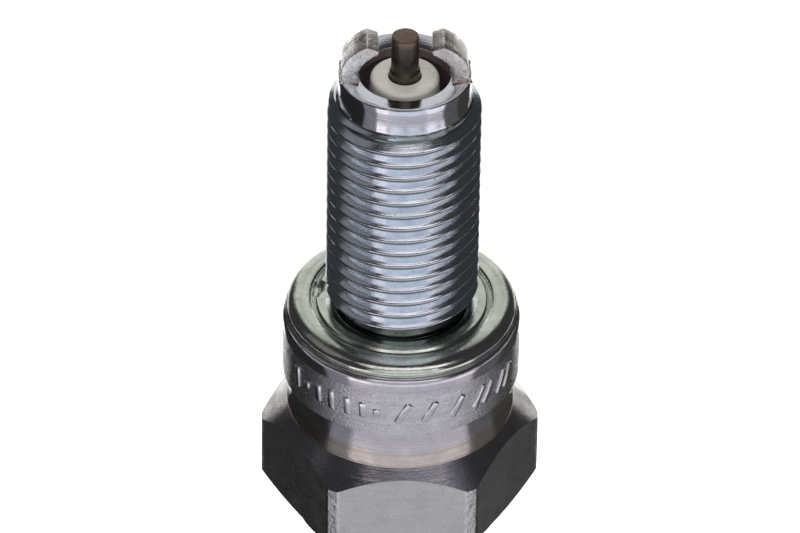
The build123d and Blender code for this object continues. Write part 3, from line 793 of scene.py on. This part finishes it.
insulator = {"steps": 144, "tipR": 2.2, "rootR": 2.7, "bodyR": 3.4, "flangeR": 5.6, "neckR": 4.75,
             "bootR": 4.55, "ribCount": 5, "ribPitch": 2.1, "ribCrestR": 4.35, "ribRootR": 3.75,
             "ribRows": (("ribRootR", 0.28), ("ribRootR", 0.48), ("ribCrestR", 0.72), ("ribCrestR", 1.0)),
             "endR": 3.4, "boreR": 1.6, "noseBoreR": 1.05, "boreStep": 14.6, "noseR": 2.35, "headLength": 4.8}


def makeInsulator():
    i = SimpleNamespace(**insulator)
    ribsTop = insulatorEndZ + i.headLength + i.ribCount * i.ribPitch
    boreStep = rimZ - i.boreStep
    outline = [(i.noseBoreR, insulatorTopZ - 1), (i.noseBoreR, insulatorTopZ, 0.08),
               (i.tipR, insulatorTopZ, 0.3), (i.noseR, insulatorTopZ - 3), (i.rootR, 7.0, 0.3),
               (i.rootR, 5.3, 0.2), (i.bodyR, 4.0, 0.2),
               (i.bodyR, -0.1, 0.2), (i.flangeR, -1.5, 0.3), (i.flangeR, -6.0), (i.flangeR, -6.7, 0.3),
               (i.neckR, -7.55, 0.2), (i.neckR, crimpZ, 0.05), (i.bootR, crimpZ, 0.05), (i.bootR, -21.0),
               (i.bootR, ribsTop, 0.15)]
    for rib in range(i.ribCount):
        z = ribsTop - rib * i.ribPitch
        outline += [(insulator[radius], z - share * i.ribPitch, 0.2) for radius, share in i.ribRows]
    outline += [(i.endR + 0.5, insulatorEndZ + 1.2, 0.4), (i.endR, insulatorEndZ, 0.4),
                (i.boreR, insulatorEndZ, 0.1), (i.boreR, insulatorEndZ + 20),
                (i.boreR, boreStep - 0.4, 0.1), (i.noseBoreR, boreStep, 0.1),
                (i.noseBoreR, insulatorTopZ - 1)]
    bm = bmesh.new()
    lathe(bm, rounded(outline, 4)[:-1], i.steps, closed=True)
    piece = finishMesh(bm, "insulatorBody", [powders["insulatorCeramic"]], 50)
    place(piece, "plug", "insulator_ceramic", "insulator")


makeInsulator()
print("centre electrode and insulator built")

terminal = {"steps": 96, "shankR": 1.4, "flangeR": 2.7, "flangeLength": 0.6, "threadR": 2.0, "pitch": 0.7,
            "depth": 0.43, "crestWidth": 0.0875, "rootRound": 0.04, "rootGap": 0.02, "leadIn": 1.2,
            "gripR": 1.28, "gripRows": 12, "gripPitch": 0.25, "nutR": 3.175, "waistR": 2.6,
            "footLength": 2.6, "waistLength": 2.4, "edge": 0.45, "boreR": 2.05, "nutSteps": 128,
            "nutThreadRows": 18, "nutThreadPitch": 0.35, "nutThreadDepth": 0.14}


def makeStud():
    t = SimpleNamespace(**terminal)
    flangeTop, flangeBottom = insulatorEndZ, insulatorEndZ - t.flangeLength
    bm = bmesh.new()
    rootR = t.threadR - t.depth
    endR = rootR - t.rootGap
    section = threadSection(t.threadR, t.depth, t.pitch, t.crestWidth, t.rootRound)
    high, low = flangeBottom - 0.25, studEndZ + 0.05

    def limit(r, z):
        return min(r, endR + max(0.0, high - z) * t.leadIn, endR + max(0.0, z - low) * t.leadIn)

    turns = ceil((high - low) / t.pitch) + 2
    threadSleeve(bm, section, t.pitch, low - t.pitch, turns, t.steps, limit, low, high)
    topLoop, lowLoop = ringAt(bm, high), ringAt(bm, low)
    rings = [(t.gripR if step % 2 else t.shankR, studTopZ - t.gripPitch - t.gripPitch * step)
             for step in range(t.gripRows)]
    top = [(endR, high), (endR, flangeBottom, 0.05), (t.flangeR, flangeBottom, 0.12),
           (t.flangeR, flangeTop, 0.1), (t.shankR, flangeTop), (t.shankR, studTopZ - 3.2)]
    top += rings[::-1] + [(1.2, studTopZ, 0.05), (0.02, studTopZ)]
    topLoop = extrudeRows(bm, topLoop, rounded(top, 3)[1:])
    bmesh.ops.contextual_create(bm, geom=topLoop)
    lowLoop = extrudeRows(bm, lowLoop, [(rootR - 0.15, studEndZ), (0.6, studEndZ)])
    bmesh.ops.contextual_create(bm, geom=lowLoop)
    piece = finishMesh(bm, "terminalStud", [metals["nutPlating"]], 40)
    place(piece, "plug", "terminal_steel", "terminal_stud")


def makeNut():
    t = SimpleNamespace(**terminal)
    bottom = floorZ
    footEnd, waistEnd = nutTopZ - t.footLength, nutTopZ - t.footLength - t.waistLength
    slope = t.nutR - t.waistR
    outline = [(t.boreR, nutTopZ - 1), (t.boreR, nutTopZ, 0.15), (t.nutR, nutTopZ, 0.3),
               (t.nutR, footEnd, 0.12), (t.waistR, footEnd - slope, 0.3),
               (t.waistR, waistEnd + slope, 0.3), (t.nutR, waistEnd, 0.12), (t.nutR, bottom + 2),
               (t.nutR, bottom + t.edge, 0.1), (t.nutR - t.edge, bottom, 0.15),
               (t.boreR + 0.2, bottom, 0.05), (t.boreR, bottom + 0.3, 0.05)]
    outline += [(t.boreR + (t.nutThreadDepth if step % 2 else 0.0),
                 bottom + 0.3 + t.nutThreadPitch * (step + 1), 0.05) for step in range(t.nutThreadRows)]
    outline = rounded(outline + [(t.boreR, nutTopZ - 1)], 3)[:-1]
    bm = bmesh.new()
    lathe(bm, outline, t.nutSteps, closed=True)
    piece = finishMesh(bm, "terminalNut", [metals["nutPlating"]], 40)
    place(piece, "nut", "terminal_steel", "terminal_nut")


makeStud()
makeNut()
print("terminal built")

camera = {"distance": 0.5, "elevation": 37.9, "azimuth": 1.7, "aim": (-0.13, 2.4), "roll": 0.85,
          "lens": 348.75}


def makeCamera():
    c = SimpleNamespace(**camera)
    data = bpy.data.cameras.new("mainCamera")
    data.lens, data.sensor_width = c.lens, 36
    data.clip_start, data.clip_end = 0.05, 20
    eye = addObject("mainCamera", data)
    aim = Vector((c.aim[0], 0, c.aim[1])) * mm
    flat = cos(radians(c.elevation)) * c.distance
    offset = Vector((-flat * sin(radians(c.azimuth)), -flat * cos(radians(c.azimuth)),
                     sin(radians(c.elevation)) * c.distance))
    turn = (-offset).to_track_quat("-Z", "Y").to_matrix() @ Matrix.Rotation(radians(c.roll), 3, "Z")
    eye.matrix_world = Matrix.Translation(aim + offset) @ turn.to_4x4()
    bpy.context.scene.camera = eye


makeCamera()

studio = {"floorDrop": 9.0, "floorR": 6.0, "floorColor": (0.86, 0.87, 0.88), "floorGlow": 0.66,
          "worldGrey": (0.035, 0.035, 0.038), "washPower": 5.6,
          "lamps": {  # place, share of the wash power, size
              "washOver": ((0.1, -0.25, 0.9), 1.0, 0.7),
              "washBack": ((0.0, 0.7, 0.9), 1.0, 0.8),
              "washFront": ((-0.3, -0.9, 0.7), 0.6, 0.6)},
          "cardLift": 0.002,
          "panels": {  # low corner, high corner, colour, strength, seen only in reflections
              "softBox": ((-0.223, -0.3, 0.5), (0.3, -0.1, 0.5), (1.0, 0.96, 0.99), 1.05),
              "sideBox": ((-0.62, -0.09, 0.5), (-0.25, 0.3, 0.5), (0.95, 0.95, 1.0), 0.2),
              "patchBox": ((-0.05, -0.46, 0.51), (0.5, -0.2, 0.51), (0.8, 0.85, 1.0), 0.2),
              "backBox": ((-0.25, 0.5, 0.29), (0.25, 0.5, 0.72), (0.97, 1.0, 0.97), 0.6),
              "backLowBox": ((-0.2, 0.52, 0.06), (0.2, 0.52, 0.29), (0.95, 0.98, 1.0), 0.7),
              "frontLowBox": ((-0.6, -0.9, -0.04), (0.8, -0.9, 0.22), (1.0, 0.94, 0.88), 0.5),
              "frontHighBox": ((-0.5, -0.9, 0.24), (0.65, -0.9, 0.9), (0.86, 0.94, 1.0), 0.8)},
          "backWall": {"from": 135, "turn": 90, "reach": 1.2, "heights": (-0.04, 0.16),
                       "glow": (0.88, 0.88, 0.82)},
          "cards": {  # round the foot: from and to angle, inner and outer reach, glow
              "cardFront": (-48, 67, 0.012, 0.1, (0.47, 0.465, 0.49)),
              "cardMidLeft": (-48, -28, 0.1, 0.4, (1.15, 1.1, 1.14)),
              "cardMid": (-28, 36, 0.1, 0.4, (0.72, 0.78, 0.86)),
              "cardMidRight": (36, 67, 0.1, 0.4, (0.98, 0.97, 1.02)),
              "cardFrontFar": (-48, 67, 0.4, 2.5, (0.52, 0.48, 0.44)),
              "cardRightDim": (67, 100, 0.012, 0.6, (0.1, 0.1, 0.1)),
              "cardRight": (100, 148, 0.012, 0.6, (0.045, 0.045, 0.04)),
              "cardLeft": (-148, -72, 0.012, 0.6, (0.018, 0.018, 0.018)),
              "cardLeftDim": (-72, -48, 0.012, 0.6, (0.2, 0.2, 0.22))}}


def stagePiece(bm, name, material):
    piece = addPiece(bm, name, [material])
    return piece


def plainMaterial(name, color, glow, strength=1.0):
    material, tree, _, shader = startMaterial(name)
    feed(tree, shader, {"Base Color": color, "Roughness": 0.8, "Specular IOR Level": 0.0,
                        "Emission Color": glow, "Emission Strength": strength})
    return material


def glowPiece(bm, name, cloth, glow, strength=1.0):  # shows in reflections only
    piece = stagePiece(bm, name, plainMaterial(name + cloth, (0, 0, 0), glow=glow, strength=strength))
    piece.visible_camera = piece.visible_diffuse = piece.visible_shadow = False


def sweepStrip(ends, start, turn, steps):  # a strip swept round the plug, angles from the front
    bm = bmesh.new()
    first = Matrix.Rotation(radians(start), 3, "Z")
    verts = [bm.verts.new(first @ Vector(end)) for end in ends]
    edge = bm.edges.new(verts)
    bmesh.ops.spin(bm, geom=verts + [edge], cent=(0, 0, 0), axis=(0, 0, 1), angle=radians(turn), steps=steps)
    return bm


def makeStudio():
    s = SimpleNamespace(**studio)
    bm = bmesh.new()
    bmesh.ops.create_circle(bm, cap_ends=True, segments=96, radius=s.floorR)
    level = (floorZ - s.floorDrop) * mm  # leaves room under the nut as it comes off
    bmesh.ops.translate(bm, verts=bm.verts, vec=(0, 0, level))
    floor = plainMaterial("paleFloor", s.floorColor, glow=(1, 1, 1), strength=s.floorGlow)
    stagePiece(bm, "studioFloor", floor)

    for name, (low, high, color, strength) in s.panels.items():
        bm = bmesh.new()
        bmesh.ops.create_grid(bm, x_segments=1, y_segments=1, size=0.5)
        if low[1] == high[1]:
            bmesh.ops.rotate(bm, verts=bm.verts, matrix=Matrix.Rotation(radians(90), 3, "X"))
        size = [top - bottom or 1.0 for bottom, top in zip(low, high)]
        bmesh.ops.scale(bm, vec=size, verts=bm.verts)
        bmesh.ops.translate(bm, verts=bm.verts, vec=[(top + bottom) / 2 for bottom, top in zip(low, high)])
        glowPiece(bm, name, "Cloth", color, strength)

    wall = s.backWall
    ends = [(0, -wall["reach"], height) for height in wall["heights"]]
    glowPiece(sweepStrip(ends, wall["from"], wall["turn"], 32), "backWall", "Cloth", wall["glow"])

    for name, (start, end, near, far, glow) in s.cards.items():
        ends = [(0, -reach, floorZ * mm + s.cardLift) for reach in (near, far)]
        glowPiece(sweepStrip(ends, start, end - start, 24), name, "Paper", glow)

    for name, (spot, share, size) in s.lamps.items():
        data = bpy.data.lights.new(name, "AREA")
        data.energy, data.size = s.washPower * share, size
        lamp = addObject(name, data)
        lamp.location = spot
        lamp.rotation_euler = (Vector((0, 0, floorZ * mm)) - Vector(spot)).to_track_quat("-Z", "Y").to_euler()
        lamp.visible_glossy = False

    world = bpy.data.worlds.new("studioWorld")
    world.use_nodes = True
    tree = world.node_tree
    tree.nodes.clear()
    seen = node(tree, "ShaderNodeLightPath").outputs["Is Camera Ray"]
    color = blendColor(tree, seen, s.worldGrey, (1, 1, 1))
    backdrop = node(tree, "ShaderNodeBackground", {"Color": color})
    node(tree, "ShaderNodeOutputWorld", {"Surface": backdrop.outputs[0]})
    bpy.context.scene.world = world


makeStudio()
bpy.context.scene.view_settings.view_transform = "Standard"
print("studio built")
